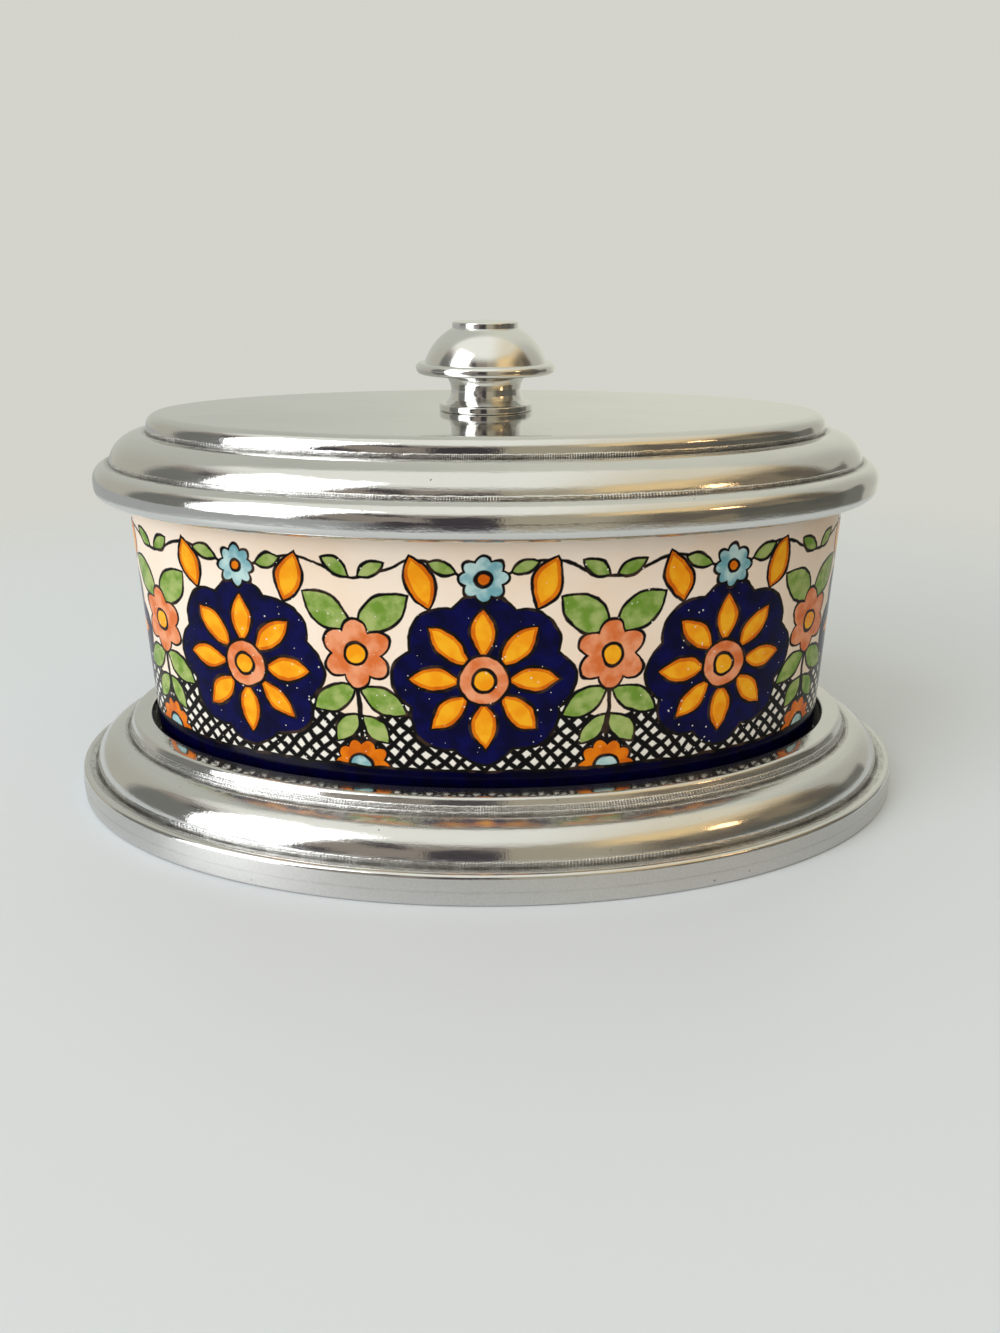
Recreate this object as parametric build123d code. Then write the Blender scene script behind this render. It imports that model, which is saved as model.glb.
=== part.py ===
from build123d import *
import os
from math import cos, radians, sin

# An oval covered keeper. A painted ceramic bowl stands loosely in the recess of a cast aluminium stand
# and is closed by a cast aluminium lid with a turned knob, which one screw holds from below.
# Millimetres, +Z up, length along X, origin on the table under the middle of the stand.

# Bowl, measured over the outside of its mouth
bowl_length = 204.6
bowl_width = 120.3
bowl_height = 77.4
bowl_wall = 6.5
bowl_floor = 6.0
bowl_draft = 1.1                # how far the wall leans in from mouth to foot
bowl_mouth_rounding = 2.2
bowl_foot_rounding = 4.0
bowl_corner_rounding = 8.0      # inside, between wall and floor
bowl_foot_width = 7.0           # bare ring that the bowl stands on
bowl_foot_recess = 2.0

# Stand: fascia, ledge, convex step and flat-topped lip round the recess
stand_recess_clearance = 1.85   # between the bowl's foot and the recess wall
stand_lip_width = 7.35
stand_lip_height = 4.6          # above the crease between lip and step
stand_lip_fall = 0.4            # of the lip's top, from its inner to its outer edge
stand_lip_lean = 1.95           # how far the lip's outer face leans in
stand_lip_inner_rounding = 1.0
stand_lip_outer_rounding = 1.5
stand_step_width = 10.1
stand_step_height = 9.3
stand_ledge_width = 4.5
stand_ledge_fall = 0.5          # from the fascia's edge in to the foot of the step
stand_fascia_height = 8.6
stand_fascia_draft = 0.35
stand_edge_rounding = 1.2
stand_wall = 4.8
stand_floor = 5.0
stand_floor_clearance = 7.0     # between the table and the floor's underside

# Lid: rounded rim, convex step, flat top plate, and a flange that drops into the bowl's mouth
lid_rim_overhang = 8.8          # beyond the bowl's mouth
lid_rim_upper_rounding = 4.7
lid_rim_face_height = 1.7       # of the upright band between the rim's two roundings
lid_rim_lower_rounding = 2.8
lid_skirt_depth = 1.2           # how far the rim hangs below the bowl's mouth
lid_skirt_clearance = 1.2
lid_step_width = 10.8
lid_step_height = 7.7
lid_crease_width = 1.2
lid_plate_edge_height = 4.9
lid_plate_edge_draft = 0.5
lid_plate_edge_rounding = 3.4
lid_plate_thickness = 5.4
lid_flange_clearance = 1.2
lid_flange_thickness = 3.2
lid_flange_depth = 7.4
lid_corner_rounding = 4.0

# Knob, turned: foot ring, hollow neck, brim, dome and top disc
knob_ring_radius = 13.1
knob_ring_height = 2.0
knob_ring_ledge = 1.7
knob_neck_radius = 9.8
knob_neck_height = 8.0
knob_waist_height = 3.5         # of the neck's narrowest place, above the ring
knob_brim_root_radius = 12.2
knob_brim_radius = 19.5
knob_brim_thickness = 3.0
knob_dome_radius = 17.0
knob_dome_rise = 9.1
knob_dome_bulge = 1.15          # how far the dome stands out from a straight cone
knob_disc_radius = 9.2
knob_disc_height = 1.6
knob_edge_rounding = 0.5

# Fixing: a pan-head machine screw and a flat washer
screw_diameter = 5.0
screw_length = 16.0
screw_head_radius = 4.75
screw_head_height = 3.4
screw_slot_width = 1.3
screw_slot_depth = 1.7
screw_tip_clearance = 1.5
screw_hole_clearance = 0.25
screw_thread_clearance = 0.05
washer_radius = 6.0
washer_thickness = 1.0

# No edge rounding takes more than this share of the wall that it rounds
largest_rounding_share = 0.4

# The oval is drawn with eight tangent arcs. These are the angles of its outward normal, from the X axis,
# at which the end arcs and the side arcs stop: with them the oval stays within 0.25 mm of an ellipse.
end_arc_limit = 38.0
side_arc_limit = 68.0


def oval_path(offset=0.0):
    """Closed path parallel to the outside of the bowl's mouth, offset outwards."""
    half_length = bowl_length / 2
    half_width = bowl_width / 2
    end_cos, end_sin = cos(radians(end_arc_limit)), sin(radians(end_arc_limit))
    side_cos, side_sin = cos(radians(side_arc_limit)), sin(radians(side_arc_limit))
    middle = radians((end_arc_limit + side_arc_limit) / 2)

    # The shoulder arc has the ellipse's own curvature half way along it. The end and side radii then
    # follow from the two conditions that the quarter oval is half_length long and half_width wide.
    ellipse_term = (half_length * cos(middle)) ** 2 + (half_width * sin(middle)) ** 2
    shoulder_radius = (half_length * half_width) ** 2 / ellipse_term ** 1.5
    along = half_length - shoulder_radius * (end_cos - side_cos)
    across = half_width - shoulder_radius * (side_sin - end_sin)
    balance = (1 - end_cos) * (1 - side_sin) - side_cos * end_sin
    end_radius = (along * (1 - side_sin) - across * side_cos) / balance
    side_radius = (across * (1 - end_cos) - along * end_sin) / balance

    end_centre = half_length - end_radius
    shoulder_x = end_centre + (end_radius - shoulder_radius) * end_cos
    shoulder_y = (end_radius - shoulder_radius) * end_sin
    side_centre = half_width - side_radius
    shoulder_turn = side_arc_limit - end_arc_limit
    side_turn = 180 - 2 * side_arc_limit
    half_oval = [
        CenterArc((end_centre, 0), end_radius + offset, -end_arc_limit, 2 * end_arc_limit),
        CenterArc((shoulder_x, shoulder_y), shoulder_radius + offset, end_arc_limit, shoulder_turn),
        CenterArc((0, side_centre), side_radius + offset, side_arc_limit, side_turn),
        CenterArc((-shoulder_x, shoulder_y), shoulder_radius + offset, 180 - side_arc_limit,
                  shoulder_turn),
    ]
    return Wire(half_oval + [arc.rotate(Axis.Z, 180) for arc in half_oval])


def moulding(outline):
    """Carry a closed outline of (distance outside the bowl's mouth, height) once round the oval."""
    path = oval_path()
    tangent = path % 0
    outward = Vector(tangent.Y, -tangent.X, 0)
    section = Plane(origin=path @ 0, x_dir=outward, z_dir=-tangent) * make_face(outline)
    return sweep(section, path=path)


def oval_plate(offset, low, high):
    """Flat oval plate between two heights, parallel to the bowl's mouth."""
    return extrude(Pos(0, 0, low) * make_face(oval_path(offset).edges()), high - low)


def turned(outline):
    """Solid turned about the upright middle axis from a closed outline of (radius, height) points."""
    return revolve(Plane.XZ * make_face(outline), Axis.Z)


# Heights that the pieces share
stand_ledge_height = stand_fascia_height - stand_ledge_fall
stand_crease_height = stand_ledge_height + stand_step_height
stand_lip_top = stand_crease_height + stand_lip_height
bowl_foot_height = stand_floor_clearance + stand_floor
bowl_mouth_height = bowl_foot_height + bowl_height
lid_rim_low = bowl_mouth_height - lid_skirt_depth
lid_rim_high = lid_rim_low + lid_rim_lower_rounding + lid_rim_face_height + lid_rim_upper_rounding
lid_step_high = lid_rim_high + lid_step_height
lid_top_height = lid_step_high + lid_plate_edge_height
lid_ceiling_height = lid_top_height - lid_plate_thickness


def make_stand():
    """One casting of even wall: fascia, ledge, convex step, flat-topped lip, recess wall and floor."""
    recess_edge = stand_recess_clearance - bowl_draft
    step_edge = recess_edge + stand_lip_width
    ledge_edge = step_edge + stand_step_width
    foot_edge = ledge_edge + stand_ledge_width
    fascia_top = foot_edge - stand_fascia_draft
    edge_rounding = min(stand_edge_rounding, stand_ledge_width * largest_rounding_share)
    inner_rounding = min(stand_lip_inner_rounding, stand_lip_width * largest_rounding_share)
    outer_rounding = min(stand_lip_outer_rounding, stand_lip_height * largest_rounding_share)
    floor_top = bowl_foot_height
    floor_low = floor_top - stand_floor
    core = recess_edge - stand_wall

    lip_shoulder = (step_edge - stand_lip_lean, stand_lip_top - stand_lip_fall)
    lip = FilletPolyline((recess_edge, floor_top), (recess_edge, stand_lip_top), lip_shoulder,
                         (step_edge, stand_crease_height), radius=(inner_rounding, outer_rounding))
    step = TangentArc(lip @ 1, (ledge_edge, stand_ledge_height), tangent=(1, 0))
    fascia_edge_centre = (fascia_top - edge_rounding, stand_fascia_height - edge_rounding)
    fascia_edge = CenterArc(fascia_edge_centre, edge_rounding, 90, -90)
    hollow = TangentArc((step_edge, stand_crease_height - stand_wall),
                        (ledge_edge - stand_wall, stand_ledge_height), tangent=(1, 0))
    outline = [
        Line((core, floor_top), lip @ 0),
        lip,
        step,
        Line(step @ 1, fascia_edge @ 0),
        fascia_edge,
        Polyline(fascia_edge @ 1, (foot_edge, 0), (foot_edge - stand_wall, 0), hollow @ 1),
        hollow,
        Polyline(hollow @ 0, (recess_edge + stand_wall, floor_low), (core, floor_low), (core, floor_top)),
    ]
    return moulding(outline) + oval_plate(core, floor_low, floor_top)


def make_bowl():
    """Oval pot with leaning walls, rounded mouth, bare foot ring and rounded inside corner."""
    foot = bowl_foot_height
    mouth = bowl_mouth_height
    mouth_rounding = min(bowl_mouth_rounding, bowl_wall * largest_rounding_share)
    floor_low = foot + bowl_foot_recess
    floor_top = floor_low + bowl_floor
    inside_foot = -bowl_wall - bowl_draft
    core = inside_foot - bowl_corner_rounding
    foot_edge = -bowl_draft - bowl_foot_rounding
    foot_ring_edge = foot_edge - bowl_foot_width

    corner = CenterArc((core, floor_top + bowl_corner_rounding), bowl_corner_rounding, -90, 90)
    mouth_centre = mouth - mouth_rounding
    mouth_inside = CenterArc((-bowl_wall + mouth_rounding, mouth_centre), mouth_rounding, 180, -90)
    mouth_outside = CenterArc((-mouth_rounding, mouth_centre), mouth_rounding, 90, -90)
    foot_outside = CenterArc((foot_edge, foot + bowl_foot_rounding), bowl_foot_rounding, 0, -90)
    outline = [
        corner,
        Line(corner @ 1, mouth_inside @ 0),
        mouth_inside,
        Line(mouth_inside @ 1, mouth_outside @ 0),
        mouth_outside,
        Line(mouth_outside @ 1, foot_outside @ 0),
        foot_outside,
        Polyline(foot_outside @ 1, (foot_ring_edge, foot), (foot_ring_edge - bowl_foot_recess, floor_low),
                 (core, floor_low), corner @ 0),
    ]
    return moulding(outline) + oval_plate(core, floor_low, floor_top)


def make_lid():
    """One casting: rounded rim, convex step, flat plate, seat on the bowl's mouth and locating flange."""
    rim_crease = lid_rim_overhang - lid_rim_upper_rounding
    plate_edge = rim_crease - lid_step_width
    plate_rounding = min(lid_plate_edge_rounding, lid_plate_edge_height)
    flange_outside = -bowl_wall - lid_flange_clearance
    flange_inside = flange_outside - lid_flange_thickness
    flange_low = bowl_mouth_height - lid_flange_depth
    core = flange_inside - lid_corner_rounding

    plate_shoulder = (plate_edge - lid_plate_edge_draft, lid_top_height)
    plate = FilletPolyline((core, lid_top_height), plate_shoulder, (plate_edge, lid_step_high),
                           radius=plate_rounding)
    crease = Line(plate @ 1, (plate_edge + lid_crease_width, lid_step_high))
    step = TangentArc(crease @ 1, (rim_crease, lid_rim_high), tangent=(1, 0))
    rim_top_centre = (rim_crease, lid_rim_high - lid_rim_upper_rounding)
    rim_top = CenterArc(rim_top_centre, lid_rim_upper_rounding, 90, -90)
    rim_foot_centre = (lid_rim_overhang - lid_rim_lower_rounding, lid_rim_low + lid_rim_lower_rounding)
    rim_foot = CenterArc(rim_foot_centre, lid_rim_lower_rounding, 0, -90)
    corner = CenterArc((core, lid_ceiling_height - lid_corner_rounding), lid_corner_rounding, 0, 90)
    outline = [
        plate,
        crease,
        step,
        rim_top,
        Line(rim_top @ 1, rim_foot @ 0),
        rim_foot,
        Polyline(rim_foot @ 1, (lid_skirt_clearance, lid_rim_low), (lid_skirt_clearance, bowl_mouth_height),
                 (flange_outside, bowl_mouth_height), (flange_outside, flange_low),
                 (flange_inside, flange_low), corner @ 0),
        corner,
        Line(corner @ 1, plate @ 0),
    ]
    hole_middle = Pos(0, 0, lid_ceiling_height + lid_plate_thickness / 2)
    screw_hole = hole_middle * Cylinder(screw_diameter / 2 + screw_hole_clearance, lid_plate_thickness)
    return moulding(outline) + oval_plate(core, lid_ceiling_height, lid_top_height) - screw_hole


def make_knob():
    """Turned knob with a tapped blind bore from below."""
    seat = lid_top_height
    ring_top = seat + knob_ring_height
    brim_low = ring_top + knob_neck_height
    brim_high = brim_low + knob_brim_thickness
    dome_top = brim_high + knob_dome_rise
    knob_top = dome_top + knob_disc_height
    bore_radius = screw_diameter / 2 + screw_thread_clearance
    bore_depth = screw_length - washer_thickness - lid_plate_thickness + screw_tip_clearance
    edge = knob_edge_rounding
    nose = knob_brim_thickness / 2

    ring_foot = CenterArc((knob_ring_radius - edge, seat + edge), edge, -90, 90)
    ring_edge = CenterArc((knob_ring_radius - edge, ring_top - edge), edge, 0, 90)
    neck_foot = (knob_ring_radius - knob_ring_ledge, ring_top)
    neck = ThreePointArc(neck_foot, (knob_neck_radius, ring_top + knob_waist_height),
                         (knob_brim_root_radius, brim_low))
    brim = CenterArc((knob_brim_radius - nose, brim_low + nose), nose, -90, 180)
    dome_foot = Vector(knob_dome_radius, brim_high)
    dome_end = Vector(knob_disc_radius, dome_top)
    dome_slope = dome_end - dome_foot
    dome_outward = Vector(dome_slope.Y, -dome_slope.X).normalized()
    dome_crown = (dome_foot + dome_end) / 2 + dome_outward * knob_dome_bulge
    dome = ThreePointArc(dome_foot, dome_crown, dome_end)
    disc_edge = CenterArc((knob_disc_radius - edge, knob_top - edge), edge, 0, 90)
    outline = [
        Polyline((0, seat + bore_depth), (bore_radius, seat + bore_depth), (bore_radius, seat),
                 ring_foot @ 0),
        ring_foot,
        Line(ring_foot @ 1, ring_edge @ 0),
        ring_edge,
        Line(ring_edge @ 1, neck_foot),
        neck,
        Line(neck @ 1, brim @ 0),
        brim,
        Line(brim @ 1, dome_foot),
        dome,
        Line(dome_end, disc_edge @ 0),
        disc_edge,
        Polyline(disc_edge @ 1, (0, knob_top), (0, seat + bore_depth)),
    ]
    return turned(outline)


def make_washer():
    """Flat washer against the underside of the lid's plate."""
    high = lid_ceiling_height
    low = high - washer_thickness
    hole = screw_diameter / 2 + screw_hole_clearance
    corners = [(hole, low), (washer_radius, low), (washer_radius, high), (hole, high)]
    return turned([Polyline(*corners, close=True)])


def make_screw():
    """Slotted pan-head screw, head down, with its plain shank up in the knob's bore."""
    head_high = lid_ceiling_height - washer_thickness
    head_low = head_high - screw_head_height
    shank = screw_diameter / 2
    dome = screw_head_height / 2
    head_round = CenterArc((screw_head_radius - dome, head_low + dome), dome, -90, 90)
    outline = [
        Line((0, head_low), head_round @ 0),
        head_round,
        Polyline(head_round @ 1, (screw_head_radius, head_high), (shank, head_high),
                 (shank, head_high + screw_length), (0, head_high + screw_length), (0, head_low)),
    ]
    slot = Pos(0, 0, head_low + screw_slot_depth / 2) * Box(
        2 * screw_head_radius, screw_slot_width, screw_slot_depth)
    return turned(outline) - slot


pieces = {
    "stand": make_stand(),
    "bowl": make_bowl(),
    "lid": make_lid(),
    "knob": make_knob(),
    "knob_washer": make_washer(),
    "knob_screw": make_screw(),
}

os.makedirs("parts", exist_ok=True)
for name, piece in pieces.items():
    export_step(piece, f"parts/{name}.step")
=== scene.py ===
import math
from collections import namedtuple

import bmesh
import bpy
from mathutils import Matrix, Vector


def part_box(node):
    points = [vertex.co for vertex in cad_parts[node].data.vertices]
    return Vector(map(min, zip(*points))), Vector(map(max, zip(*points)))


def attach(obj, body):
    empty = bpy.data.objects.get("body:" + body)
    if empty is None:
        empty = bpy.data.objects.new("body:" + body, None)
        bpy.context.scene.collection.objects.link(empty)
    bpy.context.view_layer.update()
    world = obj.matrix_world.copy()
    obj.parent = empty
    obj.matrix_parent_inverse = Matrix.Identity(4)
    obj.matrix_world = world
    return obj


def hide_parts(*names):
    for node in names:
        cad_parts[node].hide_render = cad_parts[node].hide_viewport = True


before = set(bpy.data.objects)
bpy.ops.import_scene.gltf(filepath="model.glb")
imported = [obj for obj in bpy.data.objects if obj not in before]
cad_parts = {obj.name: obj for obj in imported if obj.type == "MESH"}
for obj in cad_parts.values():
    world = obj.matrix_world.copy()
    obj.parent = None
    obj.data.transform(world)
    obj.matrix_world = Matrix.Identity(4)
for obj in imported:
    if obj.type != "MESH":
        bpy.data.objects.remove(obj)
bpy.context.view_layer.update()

# The stand is one sand casting in aluminium, buffed by hand on a wheel. A plain fascia rises from the table,
# and a ledge, a convex step and a flat-topped lip climb from it to the recess in which the bowl stands
# loosely. The wheel scarcely reached the creases, which stay streaky and grimy; painted shade darkens them.
# The fascia is only linished.
mm = 0.001
stand_low, stand_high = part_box("stand")
bowl_low, bowl_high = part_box("bowl")
stand_foot_reach = 22.7 * mm
mouth_half_length = stand_high.x - stand_foot_reach
mouth_half_width = stand_high.y - stand_foot_reach
oval_steps = 256
arc_steps = 12
smooth_angle = math.radians(35)
flat_margin = 1.0 * mm

stand_foot_radius = 0.8 * mm
stand_parting_height = 4.1 * mm
stand_fascia_top = 8.6 * mm
stand_fascia_draft = 0.35 * mm
stand_edge_radius = 1.2 * mm
stand_ledge_width = 4.5 * mm
stand_ledge_fall = 0.5 * mm
stand_step_width = 10.1 * mm
stand_step_height = 9.3 * mm
stand_lip_width = 7.35 * mm
stand_lip_height = 4.6 * mm
stand_lip_fall = 0.4 * mm
stand_lip_lean = 1.95 * mm
stand_lip_inner_radius = 1.0 * mm
stand_lip_outer_radius = 1.5 * mm
stand_wall = 4.8 * mm
stand_floor = 5.0 * mm


def arc(centre, radius, start, end):
    """Points of a profile on a circle, after the first one, between two angles in degrees."""
    points = []
    for step in range(1, arc_steps + 1):
        angle = math.radians(start + (end - start) * step / arc_steps)
        points.append((centre[0] + radius * math.cos(angle), centre[1] + radius * math.sin(angle)))
    return points


def rounded(before, corner, after, radius):
    """Points of a profile at a corner, rounded between the straight runs before and after it."""
    corner = Vector(corner)
    back = (Vector(before) - corner).normalized()
    ahead = (Vector(after) - corner).normalized()
    half_angle = back.angle(ahead) / 2
    centre = corner + (back + ahead).normalized() * radius / math.sin(half_angle)
    first = corner + back * radius / math.tan(half_angle)
    start = math.degrees(math.atan2(first.y - centre.y, first.x - centre.x))
    turn = math.copysign(180 - math.degrees(2 * half_angle), ahead.cross(back))
    return [tuple(first), *arc(centre, radius, start, start + turn)]


def convex_step(foot, top):
    """Points after the foot on an arc that climbs inwards and comes level at the top."""
    width = foot[0] - top[0]
    height = top[1] - foot[1]
    radius = (width ** 2 + height ** 2) / (2 * height)
    centre = (top[0], top[1] - radius)
    start = math.degrees(math.atan2(foot[1] - centre[1], width))
    return arc(centre, radius, start, 90)


def oval_slab(name, reach, low, high):
    """Start a piece as a slab whose edge runs parallel to the oval of the bowl's mouth, reach outside it."""
    bpy.ops.object.select_all(action="DESELECT")
    bpy.ops.mesh.primitive_circle_add(vertices=oval_steps, radius=1, fill_type="NOTHING")
    piece = bpy.context.object
    piece.name = name
    piece.data.attributes.new("reach", "FLOAT", "POINT")
    bpy.ops.object.mode_set(mode="EDIT")
    bpy.ops.transform.resize(value=(mouth_half_length, mouth_half_width, 1))
    bpy.ops.transform.translate(value=(0, 0, low))
    bpy.ops.mesh.extrude_edges_move(TRANSFORM_OT_translate={"value": (0, 0, high - low)})
    bpy.ops.mesh.select_all(action="SELECT")
    bpy.ops.mesh.normals_make_consistent(inside=False)
    bpy.ops.transform.shrink_fatten(value=reach)
    bpy.ops.mesh.fill_holes(sides=0)
    bpy.ops.mesh.select_all(action="SELECT")
    bpy.ops.mesh.normals_make_consistent(inside=False)
    note_reach(piece, reach)
    return piece


def note_reach(piece, reach):
    """Keep on the selected vertices how far they lie outside the bowl's mouth, for the finish to read."""
    mesh = bmesh.from_edit_mesh(piece.data)
    layer = mesh.verts.layers.float["reach"]
    for vertex in mesh.verts:
        if vertex.select:
            vertex[layer] = reach
    bmesh.update_edit_mesh(piece.data)


def select_cap(piece, facing):
    """Select the one flat face that closes the piece above (facing 1) or below (facing -1)."""
    bpy.ops.mesh.select_all(action="DESELECT")
    bpy.ops.mesh.select_mode(type="FACE")
    mesh = bmesh.from_edit_mesh(piece.data)
    caps = [face for face in mesh.faces if len(face.verts) > 4 and face.normal.z * facing > 0]
    caps[0].select_set(True)
    bmesh.update_edit_mesh(piece.data)


def carry_round(piece, facing, start, profile):
    """Work a moulding round the oval: inset the cap along a profile of (reach, height) points."""
    select_cap(piece, facing)
    reach, height = start
    for next_reach, next_height in profile:
        bpy.ops.mesh.inset(thickness=reach - next_reach, depth=(next_height - height) * facing)
        note_reach(piece, next_reach)
        reach, height = next_reach, next_height


def hand_over(piece, finish, body, node):
    """Leave edit mode, smooth the round faces, give the piece its finish and set it on its body."""
    bpy.ops.object.mode_set(mode="OBJECT")
    bpy.ops.object.shade_smooth_by_angle(angle=smooth_angle)
    piece.data.materials.append(finish)
    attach(piece, body)
    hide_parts(node)


class Field:
    """A number that varies over a surface. Sums and products of fields become Math nodes of the finish."""

    def __init__(self, socket):
        self.socket = socket
        self.tree = socket.id_data

    def maths(self, operation, *others):
        node = self.tree.nodes.new("ShaderNodeMath")
        node.operation = operation
        for socket, value in zip(node.inputs, (self, *others)):
            feed(socket, value)
        return Field(node.outputs[0])

    def __add__(self, other):
        return self.maths("ADD", other)

    def __sub__(self, other):
        return self.maths("SUBTRACT", other)

    def __mul__(self, other):
        return self.maths("MULTIPLY", other)

    def __abs__(self):
        return self.maths("ABSOLUTE")

    def __neg__(self):
        return self.maths("MULTIPLY", -1)

    def __rsub__(self, other):
        return (-self).maths("ADD", other)

    __radd__ = __add__
    __rmul__ = __mul__


def feed(socket, value):
    """Join a field to a socket, or set the socket to a plain value."""
    if isinstance(value, Field):
        value.tree.links.new(value.socket, socket)
    else:
        socket.default_value = value


def rise(field, low, high):
    """0 below low, 1 above high and a soft slope between them. With low above high it falls instead."""
    node = field.tree.nodes.new("ShaderNodeMapRange")
    node.interpolation_type = "SMOOTHSTEP"
    for name, value in zip(("Value", "From Min", "From Max"), (field, low, high)):
        feed(node.inputs[name], value)
    return Field(node.outputs["Result"])


def band(field, middle, half_width, softness):
    """1 where the field is within half_width of the middle, 0 away from it."""
    return rise(abs(field - middle), half_width + softness, half_width)


def between(field, start, end, softness):
    """1 where the field lies between a start and an end, 0 away from them."""
    return band(field, (start + end) / 2, (end - start) / 2, softness)


def below(field, edge, softness):
    """1 where a place in millimetres is below an edge in metres, and 0 from softness millimetres above it."""
    return rise(field, edge / mm + softness, edge / mm)


def sway(field, swing):
    """A field from 0 to 1, made to swing to both sides of nought."""
    return (field - 0.5) * swing


def point(x, y, z):
    """A place for a texture to be read at."""
    tree = next(value.tree for value in (x, y, z) if isinstance(value, Field))
    node = tree.nodes.new("ShaderNodeCombineXYZ")
    for socket, value in zip(node.inputs, (x, y, z)):
        feed(socket, value)
    return Field(node.outputs[0])


def noise(place, size, detail, output="Fac"):
    """Cloudy variation from 0 to 1 whose patches are about one size across."""
    node = place.tree.nodes.new("ShaderNodeTexNoise")
    feed(node.inputs["Vector"], place)
    node.inputs["Scale"].default_value = 1 / size
    node.inputs["Detail"].default_value = detail
    return Field(node.outputs[output])


def split(place):
    """The three numbers of a place or a colour."""
    node = place.tree.nodes.new("ShaderNodeSeparateXYZ")
    feed(node.inputs[0], place)
    return [Field(output) for output in node.outputs]


def over(under, colour, share):
    """Lay one colour over another by a share from 0 to 1."""
    node = share.tree.nodes.new("ShaderNodeMix")
    node.data_type = "RGBA"
    feed(node.inputs["Factor"], share)
    for name, value in (("A", under), ("B", colour)):
        socket = next(s for s in node.inputs if s.name == name and s.type == "RGBA")
        feed(socket, value if isinstance(value, Field) else (*value, 1))
    return Field(next(s for s in node.outputs if s.type == "RGBA"))


def start_finish(name):
    """A new material with its surface shader, and the place on the piece in millimetres."""
    finish = bpy.data.materials.new(name)
    finish.use_nodes = True
    tree = finish.node_tree
    here = Field(tree.nodes.new("ShaderNodeTexCoord").outputs["Object"])
    scaled = tree.nodes.new("ShaderNodeVectorMath")
    scaled.operation = "SCALE"
    feed(scaled.inputs[0], here)
    scaled.inputs["Scale"].default_value = 1 / mm
    return finish, tree.nodes["Principled BSDF"], Field(scaled.outputs[0])


def relief(surface, height):
    """Bump the surface by a height in millimetres."""
    node = height.tree.nodes.new("ShaderNodeBump")
    node.inputs["Distance"].default_value = mm
    feed(node.inputs["Height"], height)
    feed(surface.inputs["Normal"], Field(node.outputs[0]))


def profile_place(place):
    """The reach, the height and the run up the profile of a point on an oval moulding, in millimetres."""
    attribute = place.tree.nodes.new("ShaderNodeAttribute")
    attribute.attribute_name = "reach"
    reach = Field(attribute.outputs["Fac"]) * (1 / mm)
    height = split(place)[2]
    return reach, height, height - reach


def run_of(place):
    """Run of a profile point in millimetres, as the finish measures it."""
    return (place[1] - place[0]) / mm


# Colours of the buffed castings, from the mirror to the sand
aluminium = (0.74, 0.74, 0.725)
dull_aluminium = (0.69, 0.69, 0.675)
satin_aluminium = (0.68, 0.68, 0.67)
worn_aluminium = (0.62, 0.62, 0.61)
# Dark aluminium: real grime in the pits and specks, and painted shade along the creases
grime_and_shade_aluminium = (0.09, 0.085, 0.075)
raw_aluminium = (0.42, 0.42, 0.41)
haze_tints = (0.35, 0.75)
worn_grains = (0.40, 0.60)
grime_and_shade_in_marks = (0.60, 0.40)
grime_and_shade_strength = 0.4
pit_cores = (0.80, 0.84)
satin_metal_loss = 0.1

# Roughness of the mirror, and what each mark adds to it
buffed_roughness = 0.045
wheel_roughness = 0.07
haze_roughness = 0.04
satin_roughness = 0.24
grit_roughness = 0.03
line_roughness = 0.20
raw_roughness = 0.50
rough_wheel_marks = (0.45, 0.8)
rough_haze = (0.4, 0.8)

# Heights of the marks in millimetres: all over, on satin and raw faces, and in the grit of the creases
hand_wave_relief = 0.12
ripple_relief = 0.045
peel_relief = 0.012
wheel_relief = 0.010
fine_relief = 0.0015
linished_relief = 0.035
linished_satin = (0.3, 1.0)
satin_grain_relief = 0.004
raw_grain_relief = 0.03
grit_wheel_relief = 0.14
grit_fine_relief = 0.03
grit_chatter_relief = 0.09
grit_sand_relief = 0.05

# Creases: how they blend and wander, where their painted shade line breaks, and the wheel's chatter along
# them
finish_blend = 0.5
crease_wander = 0.6
unbroken_share = 0.5
line_breaks = (0.36, 0.60)
chatter_count = 600
chatter_beats = (0.32, 0.18)
chatter_patches = (0.42, 0.55)
# A crease's darkness draws a dark line along it: painted shade in a concave crease, a faint seam at the
# parting line
Crease = namedtuple("Crease", "run half_width darkness grit_width")


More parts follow.
